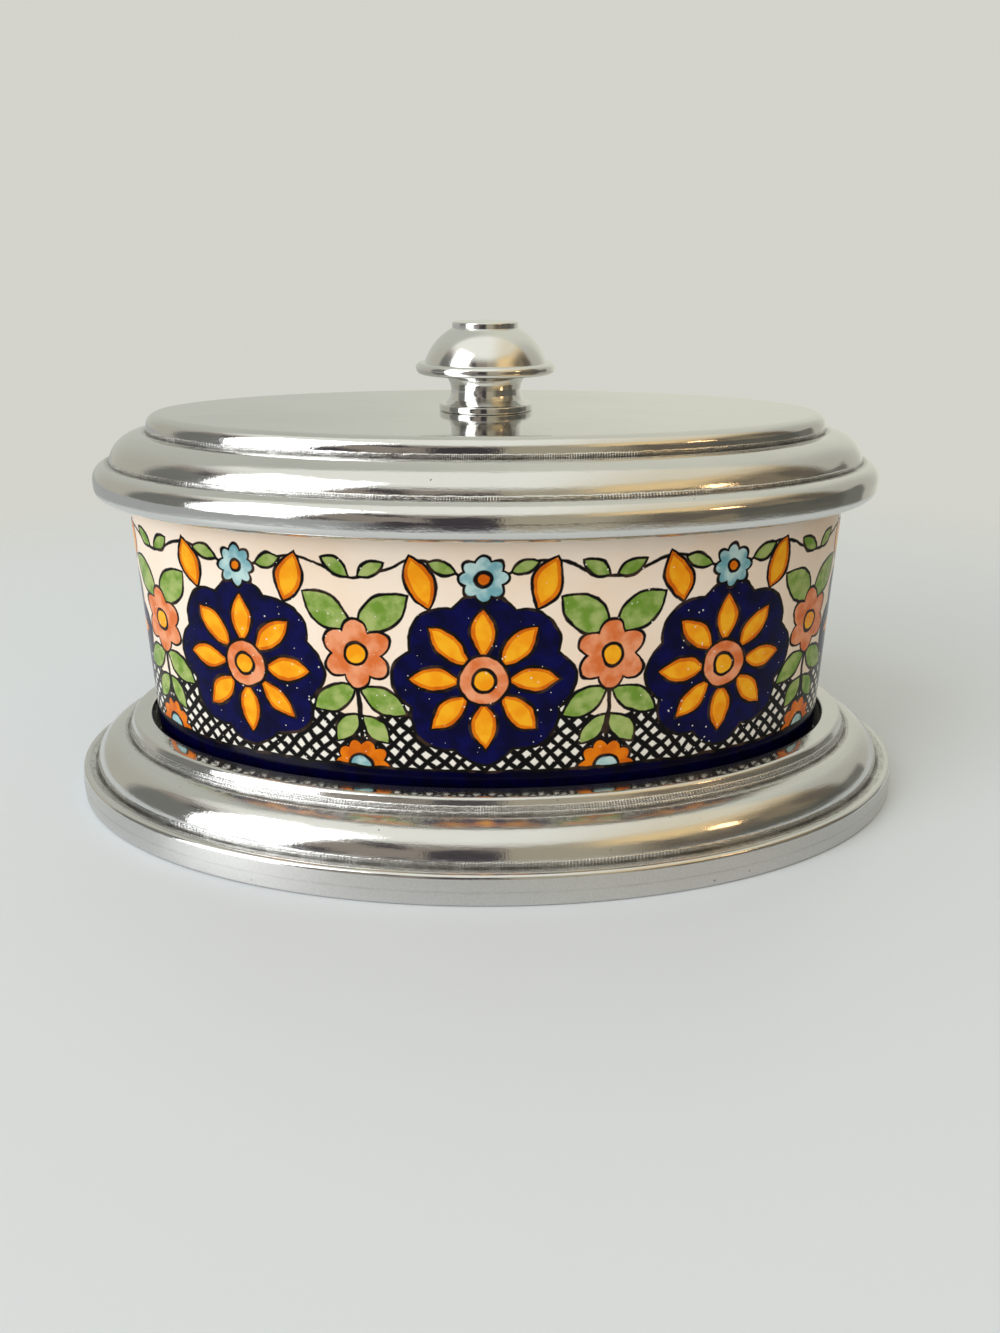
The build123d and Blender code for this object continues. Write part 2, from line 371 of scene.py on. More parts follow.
def buffed_casting(name, satin_share, creases, raw_share):
    """Cast aluminium: mirror buffed, with satin and raw parts given as functions of the profile."""
    finish, surface, place = start_finish(name)
    reach, height, run = profile_place(place)
    x, y, _ = split(place)
    heading = place.tree.nodes.new("ShaderNodeVectorMath")
    heading.operation = "NORMALIZE"
    feed(heading.inputs[0], point(x, y, 0))
    ahead, aside, _ = split(Field(heading.outputs[0]))

    def drawn_out(round_it, across_it, detail):
        """Marks drawn out along the moulding: so many to a radian round it, and to a millimetre across it."""
        return noise(point(ahead * round_it, aside * round_it, run * across_it), 1, detail)

    wheel_marks = drawn_out(round_it=14, across_it=2.6, detail=4)
    fine_marks = drawn_out(round_it=60, across_it=9, detail=3)
    ripples = drawn_out(round_it=9, across_it=0.5, detail=3)
    broken = rise(drawn_out(round_it=16, across_it=0, detail=4), *line_breaks)
    hand_waves = noise(place, size=17, detail=1)
    orange_peel = noise(place, size=0.7, detail=2)
    pits = rise(noise(place, size=1.3, detail=1), *pit_cores)
    grain = noise(place, size=0.34, detail=2)
    sand_marks = noise(place, size=1.0, detail=2)
    haze = noise(place, size=34, detail=3)
    wandering_run = run + sway(noise(place, size=2.2, detail=3), crease_wander)
    beat = (aside.maths("ARCTAN2", ahead) * (chatter_count / (2 * math.pi))).maths("WRAP", 0.5, -0.5)
    chatter = rise(abs(beat), *chatter_beats) * rise(haze, *chatter_patches)

    satin = satin_share(reach, height, run)
    raw = raw_share(reach, height, run)
    line = 0.0
    grit = 0.0
    for crease in creases:
        if crease.darkness:
            drawn = band(wandering_run, crease.run, crease.half_width, finish_blend) * crease.darkness
            line = line + drawn * (unbroken_share + broken * (1 - unbroken_share))
        if crease.grit_width:
            grit = grit + band(wandering_run, crease.run, crease.grit_width, finish_blend)

    colour = over(aluminium, dull_aluminium, rise(haze, *haze_tints))
    colour = over(colour, over(satin_aluminium, worn_aluminium, rise(grain, *worn_grains)), satin)
    # Painted shade: the creases' grit bands and dark lines are darkened, together with real grime; the pits
    # are real
    colour = over(colour, grime_and_shade_aluminium, grit * rise(fine_marks, *grime_and_shade_in_marks) * grime_and_shade_strength)
    colour = over(colour, grime_and_shade_aluminium, line + pits)
    colour = over(colour, raw_aluminium, raw)
    feed(surface.inputs["Base Color"], colour)
    feed(surface.inputs["Metallic"], 1 - satin * satin_metal_loss)

    gloss = buffed_roughness + rise(wheel_marks, *rough_wheel_marks) * wheel_roughness
    gloss = gloss + rise(haze, *rough_haze) * haze_roughness
    spoilt = grit * grit_roughness + line * line_roughness + raw * raw_roughness
    feed(surface.inputs["Roughness"], gloss + satin * satin_roughness + spoilt)

    waves = hand_waves * hand_wave_relief + ripples * ripple_relief
    waves = waves + orange_peel * peel_relief + wheel_marks * wheel_relief
    streaks = wheel_marks * grit_wheel_relief + fine_marks * grit_fine_relief
    streaks = streaks + chatter * grit_chatter_relief + sand_marks * grit_sand_relief
    marks = fine_marks * (fine_relief + rise(satin, *linished_satin) * linished_relief) + streaks * grit
    grains = grain * (satin * satin_grain_relief + raw * raw_grain_relief)
    relief(surface, (waves + marks) * (1 - raw) + grains)
    return finish


stand_recess_reach = stand_foot_reach - stand_ledge_width - stand_step_width - stand_lip_width
stand_ledge_height = stand_fascia_top - stand_ledge_fall
stand_edge_reach = stand_foot_reach - stand_fascia_draft - stand_edge_radius
stand_edge_height = stand_fascia_top - stand_edge_radius
stand_floor_height = bowl_low.z
stand_underside = stand_floor_height - stand_floor
stand_foot_height = stand_low.z + stand_foot_radius
stand_step_foot = (stand_foot_reach - stand_ledge_width, stand_ledge_height)
stand_lip_foot = (stand_step_foot[0] - stand_step_width, stand_ledge_height + stand_step_height)
stand_lip_top = stand_lip_foot[1] + stand_lip_height
stand_lip_shoulder = (stand_lip_foot[0] - stand_lip_lean, stand_lip_top - stand_lip_fall)
stand_lip_brink = (stand_recess_reach, stand_lip_top)
stand_recess_foot = (stand_recess_reach, stand_floor_height)
stand_hollow_foot = (stand_step_foot[0] - stand_wall, stand_ledge_height)
stand_hollow_top = (stand_lip_foot[0], stand_lip_foot[1] - stand_wall)

stand_buff = 0.18
ledge_satin = 0.3
lip_face_satin = 0.12
lip_face_margin = 1.0
step_head_satin = 0.25
step_head_depth = 2.0
step_head_half_width = 1.5


def stand_satin(reach, height, run):
    """The fascia is only linished. The ledge, the lip's face and the step's head are less bright."""
    fascia_end = run_of((stand_edge_reach + stand_edge_radius, stand_edge_height))
    ledge_start = run_of((stand_edge_reach, stand_fascia_top))
    lip_start = run_of(stand_lip_foot)
    face_start = lip_start + lip_face_margin
    face_end = run_of(stand_lip_shoulder) - lip_face_margin
    fascia = rise(run, fascia_end + finish_blend, fascia_end)
    ledge = between(run, ledge_start, run_of(stand_step_foot), finish_blend)
    lip_face = between(run, face_start, face_end, lip_face_margin)
    step_head = band(run, lip_start - step_head_depth, step_head_half_width, step_head_half_width)
    return stand_buff + fascia + ledge * ledge_satin + lip_face * lip_face_satin + step_head * step_head_satin


raw_foot_height = 0.05 * mm
raw_foot_blend = 0.2
hollow_margin = 3.5 * mm
ledge_margin = 0.8 * mm
recess_margin = 0.4 * mm
raw_blend = 0.4


def stand_raw(reach, height, run):
    """The underside and the floor of the recess, as they came from the sand."""
    foot = below(height, stand_low.z + raw_foot_height, raw_foot_blend)
    inside = below(reach, stand_hollow_foot[0] + hollow_margin, finish_blend)
    under_ledge = below(height, stand_ledge_height - ledge_margin, raw_blend)
    recess = below(reach, stand_recess_reach - recess_margin, raw_blend)
    return (foot + inside * under_ledge).maths("MAXIMUM", recess)


lip_marks_run = 2.4
# The step's and the lip's creases get dark lines of painted shade; the parting line gets a faint seam
stand_creases = [
    Crease(run_of((stand_foot_reach, stand_parting_height)), half_width=0.02, darkness=0.15, grit_width=0),
    Crease(run_of(stand_step_foot), half_width=0.35, darkness=0.70, grit_width=1.6),
    Crease(run_of(stand_lip_foot), half_width=0.35, darkness=0.70, grit_width=1.0),
    Crease(run_of(stand_lip_foot) + lip_marks_run, half_width=0, darkness=0, grit_width=0.6),
]
stand = oval_slab("stand_casting", stand_foot_reach, stand_foot_height, stand_parting_height)
carry_round(stand, 1, (stand_foot_reach, stand_parting_height), [
    (stand_edge_reach + stand_edge_radius, stand_edge_height),
    *arc((stand_edge_reach, stand_edge_height), stand_edge_radius, 0, 90),
    stand_step_foot,
    *convex_step(stand_step_foot, stand_lip_foot),
    *rounded(stand_lip_foot, stand_lip_shoulder, stand_lip_brink, stand_lip_outer_radius),
    *rounded(stand_lip_shoulder, stand_lip_brink, stand_recess_foot, stand_lip_inner_radius),
    stand_recess_foot,
    (stand_recess_reach - flat_margin, stand_floor_height),
])
carry_round(stand, -1, (stand_foot_reach, stand_foot_height), [
    *arc((stand_foot_reach - stand_foot_radius, stand_foot_height), stand_foot_radius, 0, -90),
    (stand_foot_reach - stand_wall, stand_low.z),
    stand_hollow_foot,
    *convex_step(stand_hollow_foot, stand_hollow_top),
    (stand_recess_reach + stand_wall, stand_underside),
    (stand_recess_reach + stand_wall - flat_margin, stand_underside),
])

# The linishing belt ran round the stand, so its gloss spreads across the mouldings
stand_brushing = 0.9
quarter_turn = 0.25
stand_finish = buffed_casting("buffed_stand", stand_satin, stand_creases, stand_raw)
stand_surface = stand_finish.node_tree.nodes["Principled BSDF"]
stand_surface.inputs["Anisotropic"].default_value = stand_brushing
stand_surface.inputs["Anisotropic Rotation"].default_value = quarter_turn
hand_over(stand, stand_finish, "stand", "stand")

# The bowl is one oval ceramic pot, slip cast with a slight lean to its walls. It is hand painted with metal
# oxide colours over a cream ground, as country majolica is, and glazed all over but for the bare foot ring.
bowl_mouth_radius = 2.2 * mm
bowl_wall = 6.5 * mm
bowl_draft = 1.1 * mm
bowl_foot_radius = 4.0 * mm
bowl_corner_radius = 8.0 * mm
bowl_foot_width = 7.0 * mm
bowl_foot_recess = 2.0 * mm
bowl_floor = 6.0 * mm
bowl_collar = 1.0 * mm
bowl_brink = bowl_high.z - bowl_mouth_radius
bowl_floor_height = bowl_low.z + bowl_foot_recess + bowl_floor
bowl_inside_foot = -bowl_wall - bowl_draft
bowl_foot_reach = -bowl_draft - bowl_foot_radius

# Colours of the painting: each wash is its thin colour and its pooled colour
cream = (0.88, 0.765, 0.655)
warm_cream = (0.86, 0.70, 0.56)
lattice_white = (0.80, 0.78, 0.72)
black_ink = (0.004, 0.0035, 0.0035)
brown_ink = (0.045, 0.026, 0.018)
cobalt_wash = ((0.002, 0.002, 0.062), (0.001, 0.001, 0.024))
# The foot band's wash is darker than the cobalt: dark cobalt with painted shade under the stand's lip
foot_cobalt_and_shade_wash = ((0.001, 0.001, 0.024), (0.001, 0.001, 0.009))
orange_wash = ((0.76, 0.20, 0.004), (0.58, 0.115, 0.003))
yellow_wash = ((0.90, 0.43, 0.015), (0.86, 0.31, 0.006))
coral_wash = ((0.80, 0.33, 0.17), (0.66, 0.16, 0.04))
green_wash = ((0.36, 0.45, 0.15), (0.15, 0.28, 0.035))
blue_wash = ((0.48, 0.66, 0.66), (0.15, 0.36, 0.42))
bare_clay = (0.52, 0.36, 0.25)

# The mouth's ellipse in millimetres, and the share of it that one repeat of the design takes
mouth_length = mouth_half_length / mm
mouth_width = mouth_half_width / mm
mouth_mean = (mouth_length + mouth_width) / 2
mouth_slimness = (mouth_length - mouth_width) / (mouth_length + mouth_width)
mouth_stretch = 1 + mouth_slimness ** 2 / 4
pattern_repeats = 8
pattern_width = 2 * math.pi * mouth_mean * mouth_stretch / pattern_repeats

# The design, in millimetres along the wall and above the table: it repeats round the bowl about a rosette
Leaf = namedtuple("Leaf", "root angle size half_width")
Blossom = namedtuple("Blossom", "height radius scallop lobes heart")
foot_band_top = 25.6
lattice_pitches = 15
lattice_half_width = 0.72
swag_height = 39.0
swag_rise = 0.045
swag_limit = 55.0
vine_height = 79.6
vine_swing = 2.3
rosette = Blossom(height=51.0, radius=20.3, scallop=2.9, lobes=8, heart=2.9)
rosette_eye = 6.5
petal_root = 5.6
petal_tip = 19.6
petal_half_width = 3.4
petal_rim = 1.3
stem_height = 43
stem_half_length = 10
stem_half_width = 0.2
stem_leaves = [
    Leaf(root=(0.6, 63.5), angle=36, size=16.0, half_width=4.4),
    Leaf(root=(0.6, 48.0), angle=-30, size=14.0, half_width=3.6),
    Leaf(root=(0.6, 40.5), angle=-50, size=10.5, half_width=2.8),
]
flower = Blossom(height=57.0, radius=6.8, scallop=2.8, lobes=6, heart=2.9)
half_flower = Blossom(height=foot_band_top, radius=6.6, scallop=1.5, lobes=10, heart=3.4)
daisy = Blossom(height=77.6, radius=4.6, scallop=1.3, lobes=8, heart=1.7)
bud = Leaf(root=(pattern_width / 4 + 1.5, 83.0), angle=-108, size=14.0, half_width=3.7)
bud_rim = 1.4
vine_leaves = [
    Leaf(root=(6.5, 79.0), angle=18, size=7.5, half_width=1.9),
    Leaf(root=(pattern_width / 2 - 1.0, 77.6), angle=150, size=8.0, half_width=2.0),
]

# The hand and the brush: how far lines waver, how they swell and fade, and how the washes pool
waver_swing_across = 2.6
waver_swing_up = 2.2
shake_swing = 0.5
brush_edge = 0.16
line_half_width = 0.45
line_thinnest = 0.55
line_swell = 0.9
pooled = (0.34, 0.66)
blushed = (0.35, 0.7)
thin_ink = (0.48, 0.70)


def length(across, up):
    """Distance from the origin of a drawing."""
    return (across * across + up * up).maths("SQRT")


def along_mouth(x, y):
    """Distance round the mouth's ellipse in millimetres, from the first terms of its series."""
    turn = (y * (1 / mouth_width)).maths("ARCTAN2", x * (1 / mouth_length))
    first_wave = mouth_slimness / 2 * (1 - mouth_slimness ** 2 / 8)
    second_wave = mouth_slimness ** 2 / 16
    waves = (turn * 2).maths("SINE") * first_wave + (turn * 4).maths("SINE") * second_wave
    return (turn * mouth_stretch - waves) * mouth_mean


def repeated(field, width):
    """A place that starts again after each width, counted from the middle of its repeat."""
    return field.maths("WRAP", width / 2, -width / 2)


def fold_round(across, up, count):
    """Polar drawing place: the radius, and the place along and beside the nearest of count equal spokes."""
    radius = length(across, up)
    angle = repeated(up.maths("ARCTAN2", across), 2 * math.pi / count)
    return radius, radius * angle.maths("COSINE"), abs(radius * angle.maths("SINE"))


def scalloped(across, up, kind):
    """Distance outside a disc with a scalloped edge."""
    angle = up.maths("ARCTAN2", across)
    lobe = abs((angle * (kind.lobes / 2)).maths("COSINE"))
    return length(across, up) - (kind.radius + lobe * kind.scallop)


def pointed(along, beside, start, end, half_width):
    """Distance outside a leaf that is pointed at both ends, drawn along an axis."""
    share = (along - start) * (1 / (end - start))
    return beside - share * (1 - share) * (4 * half_width)


def leaf_shape(across, up, leaf):
    """Distance outside a leaf with its root at a place, pointing at an angle in degrees."""
    lean = math.radians(leaf.angle)
    right = across - leaf.root[0]
    above = up - leaf.root[1]
    along = right * math.cos(lean) + above * math.sin(lean)
    beside = abs(above * math.cos(lean) - right * math.sin(lean))
    return pointed(along, beside, 0, leaf.size, leaf.half_width)


class Painter:
    """Lays brushed shapes over each other on the wall."""

    def __init__(self, ground, line_weight, ink, pooling):
        self.colour = ground
        self.line_weight = line_weight
        self.ink = ink
        self.pooling = pooling

    def lay(self, outside, colour):
        """Lay a colour within an edge."""
        self.colour = over(self.colour, colour, rise(outside, brush_edge, -brush_edge))

    def fill(self, outside, wash):
        """Fill a shape with a wash that is thin in places and pooled in others."""
        thin, pooled_wash = wash
        self.lay(outside, over(thin, pooled_wash, self.pooling))

    def line(self, outside):
        """Draw the edge of a shape, or a line where the distance is nought, with a black brush."""
        self.lay(abs(outside) - self.line_weight, self.ink)

    def shape(self, outside, wash):
        """A filled shape with its black outline."""
        self.fill(outside, wash)
        self.line(outside)

    def blossom(self, across, up, kind, petals, heart):
        """A flower with a scalloped edge and a round heart."""
        self.shape(scalloped(across, up, kind), petals)
        self.shape(length(across, up) - kind.heart, heart)


def painted_wall(place):
    """Colour of the painted wall."""
    x, y, up = split(place)
    waver_across, waver_up, _ = split(noise(place, size=10, detail=1, output="Color"))
    shake = sway(noise(place, size=2.3, detail=2), shake_swing)
    across = along_mouth(x, y) + sway(waver_across, waver_swing_across) + shake
    across = repeated(across, pattern_width)
    up = up + sway(waver_up, waver_swing_up) + shake
    beside = abs(across)
    gap = pattern_width / 2 - beside

    line_weight = line_half_width * (line_thinnest + noise(place, size=3.4, detail=2) * line_swell)
    ground = over(cream, warm_cream, rise(noise(place, size=26, detail=2), *blushed))
    ink = over(black_ink, brown_ink, rise(noise(place, size=5, detail=3), *thin_ink))
    pooling = rise(noise(place, size=4.5, detail=4), *pooled)
    paint = Painter(ground, line_weight, ink, pooling)

    # Lattice below a row of swags
    pitch = pattern_width / lattice_pitches
    nearest_bar = abs(repeated(across + up, pitch)).maths("MINIMUM", abs(repeated(across - up, pitch)))
    bar = nearest_bar * math.sqrt(0.5) - lattice_half_width + (line_weight - line_half_width)
    lattice = over(lattice_white, black_ink, rise(bar, brush_edge, -brush_edge))
    below_swag = up - (gap * gap * swag_rise + swag_height).maths("MINIMUM", swag_limit)
    paint.lay(below_swag, lattice)
    paint.line(below_swag)

    # Vine below the mouth
    vine = up - vine_height + (across * (4 * math.pi / pattern_width)).maths("COSINE") * vine_swing
    paint.line(vine)

    # Rosette: cobalt with a ring of orange petals round a coral eye
    rosette_up = up - rosette.height
    paint.shape(scalloped(across, rosette_up, rosette), cobalt_wash)
    radius, petal_along, petal_beside = fold_round(across, rosette_up, rosette.lobes)
    petal = pointed(petal_along, petal_beside, petal_root, petal_tip, petal_half_width)
    paint.shape(petal, orange_wash)
    paint.fill(petal + petal_rim, yellow_wash)
    paint.shape(radius - rosette_eye, coral_wash)
    paint.shape(radius - rosette.heart, yellow_wash)

    # Stem, leaves and coral flower between two rosettes
    stem = (gap - stem_half_width).maths("MAXIMUM", abs(up - stem_height) - stem_half_length)
    paint.line(stem)
    for leaf in stem_leaves:
        paint.shape(leaf_shape(gap, up, leaf), green_wash)
    paint.blossom(up - flower.height, gap, flower, coral_wash, yellow_wash)

    # Half flower on the foot band below it
    half_up = up - half_flower.height
    paint.blossom(gap, half_up, half_flower, orange_wash, blue_wash)

    # Blue daisies, orange buds and leaves on the vine
    paint.blossom(across, up - daisy.height, daisy, blue_wash, orange_wash)
    bud_shape = leaf_shape(beside, up, bud)
    paint.shape(bud_shape, orange_wash)
    paint.fill(bud_shape + bud_rim, yellow_wash)
    for leaf in vine_leaves:
        paint.shape(leaf_shape(beside, up, leaf), green_wash)

    # Band at the foot, nearly black: dark cobalt deepened by painted shade under the stand's lip
    paint.fill(half_up, foot_cobalt_and_shade_wash)
    paint.line(half_up)
    return paint.colour


paint_blend = 0.4
white_speck_spacing = 2.2
white_speck_raggedness = 0.10
white_speck_edge = (0.055, 0.040)
white_speck_strength = 0.8
white_speck_crowds = (0.40, 0.62)
white_speck_growth = 0.06
white_speck_fade = 1
bare_foot_height = 0.2 * mm
bare_foot_blend = 0.3
bare_foot_reach = 0.1 * mm
glaze_gloss = 0.08
glaze_roughness = 0.16
glaze_clouds = (0.4, 0.8)
cloud_roughness = 0.08
clay_roughness = 0.6
glaze_relief = 0.035
clay_relief = 0.06


def painted_glaze():
    """Clear gloss glaze over the painting, with white specks, cream inside and bare clay under the foot."""
    finish, surface, place = start_finish("painted_glaze")
    reach, height, _ = profile_place(place)
    mottle = noise(place, size=8, detail=3)
    orange_peel = noise(place, size=3.2, detail=2)
    grit = noise(place, size=0.45, detail=2)
    white_speck_cells = place.tree.nodes.new("ShaderNodeTexVoronoi")
    feed(white_speck_cells.inputs["Vector"], place)
    white_speck_cells.inputs["Scale"].default_value = 1 / white_speck_spacing
    from_white_speck = Field(white_speck_cells.outputs["Distance"]) + sway(grit, white_speck_raggedness)
    crowded = rise(noise(place, size=30, detail=1), *white_speck_crowds) * white_speck_growth

    paint_end = -bowl_mouth_radius / mm
    painted = rise(reach, paint_end - paint_blend, paint_end)
    colour = over(over(cream, warm_cream, mottle), painted_wall(place), painted)
    speckled = painted * rise(height, foot_band_top, foot_band_top + white_speck_fade)
    # White specks laid over the painting, crowded in places and kept off the foot band
    white_speck = rise(from_white_speck - crowded, *white_speck_edge) * speckled * white_speck_strength
    colour = over(colour, lattice_white, white_speck)
    unglazed = below(height, bowl_low.z + bare_foot_height, bare_foot_blend)
    unglazed = unglazed * below(reach, bowl_foot_reach + bare_foot_reach, paint_blend)
    colour = over(colour, bare_clay, unglazed)
    feed(surface.inputs["Base Color"], colour)
    surface.inputs["Specular IOR Level"].default_value = glaze_gloss
    cloudy = rise(mottle, *glaze_clouds) * cloud_roughness
    feed(surface.inputs["Roughness"], glaze_roughness + cloudy + unglazed * clay_roughness)
    relief(surface, orange_peel * glaze_relief + grit * unglazed * clay_relief)
    return finish


bowl_corner_reach = bowl_inside_foot - bowl_corner_radius
bowl_corner_height = bowl_floor_height + bowl_corner_radius
bowl_recess_reach = bowl_foot_reach - bowl_foot_width - bowl_foot_recess
bowl_recess_height = bowl_low.z + bowl_foot_recess
bowl = oval_slab("painted_bowl", 0, bowl_brink - bowl_collar, bowl_brink)
carry_round(bowl, 1, (0, bowl_brink), [
    *arc((-bowl_mouth_radius, bowl_brink), bowl_mouth_radius, 0, 90),
    *arc((bowl_mouth_radius - bowl_wall, bowl_brink), bowl_mouth_radius, 90, 180),
    (bowl_inside_foot, bowl_corner_height),
    *arc((bowl_corner_reach, bowl_corner_height), bowl_corner_radius, 0, -90),
    (bowl_corner_reach - flat_margin, bowl_floor_height),
])
carry_round(bowl, -1, (0, bowl_brink - bowl_collar), [
    (-bowl_draft, bowl_low.z + bowl_foot_radius),
    *arc((bowl_foot_reach, bowl_low.z + bowl_foot_radius), bowl_foot_radius, 0, -90),
    (bowl_foot_reach - bowl_foot_width, bowl_low.z),
    (bowl_recess_reach, bowl_recess_height),
    (bowl_recess_reach - flat_margin, bowl_recess_height),
])
hand_over(bowl, painted_glaze(), "bowl", "bowl")

# The lid is one sand casting in aluminium, buffed like the stand: a rounded rim that hangs over the bowl's
# mouth, a convex step and a flat plate. A flange below drops into the mouth and keeps the lid in its place.
lid_low, lid_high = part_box("lid")
lid_rim_reach = 8.8 * mm
lid_rim_upper_radius = 4.7 * mm
lid_rim_face = 1.7 * mm
lid_rim_lower_radius = 2.8 * mm
lid_skirt_depth = 1.2 * mm
lid_skirt_reach = 1.2 * mm
lid_step_width = 10.8 * mm
lid_step_height = 7.7 * mm
lid_crease_width = 1.2 * mm
lid_edge_draft = 0.5 * mm
lid_edge_radius = 3.4 * mm
lid_plate = 5.4 * mm
lid_flange_gap = 1.2 * mm
lid_flange = 3.2 * mm
lid_corner_radius = 4.0 * mm
lid_rim_low = bowl_high.z - lid_skirt_depth
lid_face_low = lid_rim_low + lid_rim_lower_radius
lid_face_high = lid_face_low + lid_rim_face
lid_step_foot = (lid_rim_reach - lid_rim_upper_radius, lid_face_high + lid_rim_upper_radius)
lid_step_top = lid_step_foot[1] + lid_step_height
lid_edge_reach = lid_step_foot[0] - lid_step_width
lid_edge_foot = (lid_edge_reach, lid_step_top)
lid_edge_shoulder = (lid_edge_reach - lid_edge_draft, lid_high.z)
lid_flange_reach = -bowl_wall - lid_flange_gap
lid_hollow_reach = lid_flange_reach - lid_flange
lid_ceiling = lid_high.z - lid_plate

lid_buff = 0.12
plate_margin = 0.8 * mm
plate_blend = 0.6
skirt_margin = 0.1 * mm
skirt_blend = 0.2
flange_blend = 0.3


def lid_satin(reach, height, run):
    """The mouldings are buffed softer than the flat plate, and the skirt under the rim is only cleaned up."""
    mouldings = below(height, lid_high.z - plate_margin, plate_blend)
    skirt = below(height, lid_rim_low + skirt_margin, skirt_blend)
    return mouldings * lid_buff + skirt


def lid_raw(reach, height, run):
    """The hollow underneath, as it came from the sand."""
    seat = below(reach, lid_skirt_reach, raw_blend) * below(height, bowl_high.z, skirt_blend)
    hollow = below(reach, lid_flange_reach, flange_blend) * below(height, lid_ceiling, skirt_blend)
    return seat + hollow


# Both creases of the lid get dark lines of painted shade, with real grime in their grit bands
lid_creases = [
    Crease(run_of(lid_step_foot), half_width=0.20, darkness=0.6, grit_width=1.0),
    Crease(run_of(lid_edge_foot), half_width=0.25, darkness=0.7, grit_width=1.0),
]
lid = oval_slab("lid_casting", lid_rim_reach, lid_face_low, lid_face_high)
carry_round(lid, 1, (lid_rim_reach, lid_face_high), [
    *arc((lid_step_foot[0], lid_face_high), lid_rim_upper_radius, 0, 90),
    *convex_step(lid_step_foot, (lid_edge_reach + lid_crease_width, lid_step_top)),
    lid_edge_foot,
    *rounded(lid_edge_foot, lid_edge_shoulder, (lid_hollow_reach, lid_high.z), lid_edge_radius),
    (lid_hollow_reach - flat_margin, lid_high.z),
])
lid_corner_reach = lid_hollow_reach - lid_corner_radius
lid_corner_height = lid_ceiling - lid_corner_radius
carry_round(lid, -1, (lid_rim_reach, lid_face_low), [
    *arc((lid_rim_reach - lid_rim_lower_radius, lid_face_low), lid_rim_lower_radius, 0, -90),
    (lid_skirt_reach, lid_rim_low),
    (lid_skirt_reach, bowl_high.z),
    (lid_flange_reach, bowl_high.z),
    (lid_flange_reach, lid_low.z),
    (lid_hollow_reach, lid_low.z),
    (lid_hollow_reach, lid_corner_height),
    *arc((lid_corner_reach, lid_corner_height), lid_corner_radius, 0, 90),
    (lid_corner_reach - flat_margin, lid_ceiling),
])
lid_finish = buffed_casting("buffed_lid", lid_satin, lid_creases, lid_raw)
hand_over(lid, lid_finish, "lid", "lid")

# The knob is turned from aluminium bar and polished on the lathe: foot ring, hollow neck with tool lines,
# brim, dome and top disc. A screw from below holds it on the lid's plate.
knob_low, knob_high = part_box("knob")
knob_steps = 128
knob_ring_radius = 13.1 * mm
knob_ring_height = 2.0 * mm
knob_ring_ledge = 1.7 * mm
knob_neck_hollow = 2.0 * mm
knob_neck_height = 8.0 * mm
knob_neck_steps = 48
knob_brim_root = 12.2 * mm
knob_brim_nose = 1.5 * mm
knob_dome_radius = 17.0 * mm
knob_dome_rise = 9.1 * mm
knob_dome_bulge = 1.15 * mm
knob_dome_steps = 16
knob_disc_radius = 9.2 * mm
knob_edge_radius = 0.5 * mm
knob_bore_radius = 2.55 * mm
knob_bore_depth = 11.1 * mm
groove_start = 3.2 * mm
groove_pitch = 1.4 * mm
groove_count = 5
groove_depth = 0.04 * mm
groove_width = 0.35 * mm
groove_heights = [knob_low.z + groove_start + groove_pitch * number for number in range(groove_count)]


def bowed(start, end, bulge, steps):
    """Points after the first on an arc that stands out from its chord by bulge, to the right of its way."""
    run = end[0] - start[0]
    climb = end[1] - start[1]
    chord = math.hypot(run, climb)
    radius = (chord ** 2 / 4 + bulge ** 2) / (2 * bulge)
    outward = (climb / chord, -run / chord)
    half_angle = math.asin(chord / 2 / radius)
    points = []
    for step in range(1, steps + 1):
        angle = half_angle * (2 * step / steps - 1)
        along = 0.5 + radius * math.sin(angle) / chord
        stand_out = radius * math.cos(angle) - (radius - bulge)
        points.append((start[0] + run * along + outward[0] * stand_out,
                       start[1] + climb * along + outward[1] * stand_out))
    return points


def turn_on_lathe(piece, facing, start, profile):
    """Turn a profile of (radius, height) points: extrude the cap and size it, point by point."""
    select_cap(piece, facing)
    radius, height = start
    for next_radius, next_height in profile:
        climb = (0, 0, next_height - height)
        bpy.ops.mesh.extrude_region_move(TRANSFORM_OT_translate={"value": climb})
        size = next_radius / radius
        bpy.ops.transform.resize(value=(size, size, 1))
        radius, height = next_radius, next_height


def grooved(profile):
    """Cut the tool grooves into the points of the neck."""
    points = []
    for radius, height in profile:
        nearest = min(abs(height - groove) for groove in groove_heights)
        cut = max(0.0, 1 - nearest / groove_width) * groove_depth
        points.append((radius - cut, height))
    return points


bright_turning = (0.78, 0.78, 0.765)
dull_turning = (0.66, 0.66, 0.65)
turning_slope = 1.3
rings_per_mm = 5
fine_rings_per_mm = 22
fine_ring_drift = 0.05
dull_rings = (0.5, 0.8)
speck_cores = (0.79, 0.83)
turned_roughness = 0.09
rough_rings = (0.45, 0.8)
ring_roughness = 0.05
rough_smears = (0.4, 0.8)
smear_roughness = 0.08
ring_relief = 0.004
fine_ring_relief = 0.0009


def turned_aluminium():
    """Bright turned aluminium with faint rings from the tool."""
    finish, surface, place = start_finish("turned_knob")
    x, y, height = split(place)
    run = height * turning_slope - length(x, y)
    rings = noise(point(run * rings_per_mm, 0, 0), size=1, detail=4)
    fine_place = point(run * fine_rings_per_mm, x * fine_ring_drift, y * fine_ring_drift)
    fine_rings = noise(fine_place, size=1, detail=2)
    smears = noise(place, size=6, detail=3)
    specks = noise(place, size=0.35, detail=1)
    colour = over(bright_turning, dull_turning, rise(rings, *dull_rings))
    colour = over(colour, grime_and_shade_aluminium, rise(specks, *speck_cores))
    feed(surface.inputs["Base Color"], colour)
    surface.inputs["Metallic"].default_value = 1.0
    ringed = rise(rings, *rough_rings) * ring_roughness
    smeared = rise(smears, *rough_smears) * smear_roughness
    feed(surface.inputs["Roughness"], turned_roughness + ringed + smeared)
    relief(surface, rings * ring_relief + fine_rings * fine_ring_relief)
    return finish


